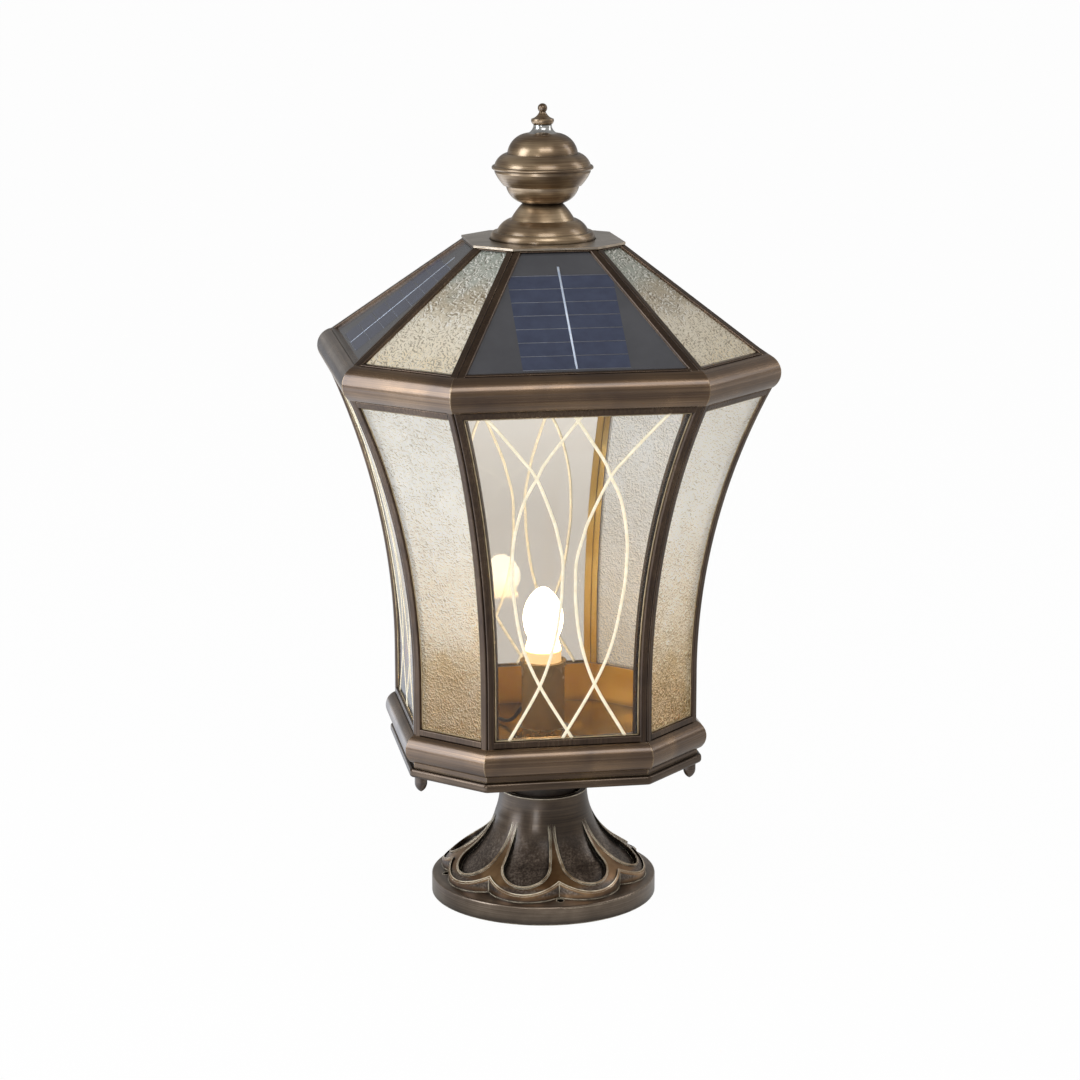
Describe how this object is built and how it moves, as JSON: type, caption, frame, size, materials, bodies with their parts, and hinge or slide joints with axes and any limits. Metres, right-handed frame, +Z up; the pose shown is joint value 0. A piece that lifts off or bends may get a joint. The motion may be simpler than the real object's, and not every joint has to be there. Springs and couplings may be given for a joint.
{
  "type": "pillar lamp",
  "caption": "Octagonal pillar lamp: flared leaded-glass lantern with a solar roof and turned finial, on a cast pedestal with petals that screws to a post.",
  "frame": {"origin": "centre of the pedestal's underside", "axes": "+Z up along the stem; the front wide side faces -Y and +X is to its right"},
  "size_m": [0.3, 0.3, 0.5672],
  "materials": {
    "aged_brass": "aged, brushed and rubbed at the edges",
    "came_brass": "aged, brushed along the bar",
    "finial_brass": "aged, satin, darker in the grooves",
    "cast_bronze": "cast, rubbed bright on the ribs and dark in the petals",
    "clear_glass": "clear with engraved lines",
    "textured_glass": "water-textured",
    "solar_laminate": "dark cells under gloss glass",
    "bulb_glass": "frosted, lit from inside",
    "holder_brass": "satin",
    "steel": "bright zinc",
    "bright_collar": "polished",
    "sleeve_paint": "matt dark",
    "can_paint": "satin dark",
    "cell_wrap": "shrink wrap",
    "board_resin": "lacquered",
    "lead_sheath": "matt"
  },
  "bodies": {
    "lamp": {"battery_can": "can_paint", "battery_cells": "cell_wrap", "body_frame_back": "came_brass", "body_frame_back_left": "came_brass", "body_frame_back_right": "came_brass", "body_frame_front": "came_brass", "body_frame_front_left": "came_brass", "body_frame_front_right": "came_brass", "body_frame_left": "came_brass", "body_frame_right": "came_brass", "body_pane_back": "clear_glass", "body_pane_back_left": "textured_glass", "body_pane_back_right": "textured_glass", "body_pane_front": "clear_glass", "body_pane_front_left": "textured_glass", "body_pane_front_right": "textured_glass", "body_pane_left": "clear_glass", "body_pane_right": "clear_glass", "bulb": "bulb_glass", "cage_studs": "steel", "control_board": "board_resin", "cornice_moulding": "aged_brass", "finial_bowl": "finial_brass", "finial_collar": "bright_collar", "finial_dome": "finial_brass", "finial_foot": "finial_brass", "finial_rod": "steel", "lamp_holder": "holder_brass", "lamp_lead": "lead_sheath", "panel_leads": "lead_sheath", "pedestal": "cast_bronze", "rod_nuts": "steel", "roof_frame_back": "came_brass", "roof_frame_back_left": "came_brass", "roof_frame_back_right": "came_brass", "roof_frame_front": "came_brass", "roof_frame_front_left": "came_brass", "roof_frame_front_right": "came_brass", "roof_frame_left": "came_brass", "roof_frame_right": "came_brass", "roof_pane_back_left": "textured_glass", "roof_pane_back_right": "textured_glass", "roof_pane_front_left": "textured_glass", "roof_pane_front_right": "textured_glass", "sill_moulding": "aged_brass", "solar_panel_back": "solar_laminate", "solar_panel_front": "solar_laminate", "solar_panel_left": "solar_laminate", "solar_panel_right": "solar_laminate", "stem_nuts": "steel", "stem_sleeve": "sleeve_paint", "stem_tube": "steel", "stem_washer": "steel", "top_plate": "aged_brass", "tray": "aged_brass"},
    "finial_knob": {"finial_knob": "finial_brass"},
    "thumb_nut_1": {"thumb_nut_1": "finial_brass"},
    "thumb_nut_2": {"thumb_nut_2": "finial_brass"},
    "thumb_nut_3": {"thumb_nut_3": "finial_brass"},
    "thumb_nut_4": {"thumb_nut_4": "finial_brass"}
  },
  "joints": [
    {"name": "finial_knob_turn", "type": "hinge", "parent": "lamp", "child": "finial_knob", "pos_m": [0, 0, 0.5525], "axis": [0, 0, 1], "continuous": true},
    {"name": "thumb_nut_1_turn", "type": "hinge", "parent": "lamp", "child": "thumb_nut_1", "pos_m": [0.09585, -0.05427, 0.107], "axis": [0, 0, 1], "continuous": true},
    {"name": "thumb_nut_2_turn", "type": "hinge", "parent": "lamp", "child": "thumb_nut_2", "pos_m": [0.09585, 0.05427, 0.107], "axis": [0, 0, 1], "continuous": true},
    {"name": "thumb_nut_3_turn", "type": "hinge", "parent": "lamp", "child": "thumb_nut_3", "pos_m": [-0.09585, 0.05427, 0.107], "axis": [0, 0, 1], "continuous": true},
    {"name": "thumb_nut_4_turn", "type": "hinge", "parent": "lamp", "child": "thumb_nut_4", "pos_m": [-0.09585, -0.05427, 0.107], "axis": [0, 0, 1], "continuous": true}
  ]
}
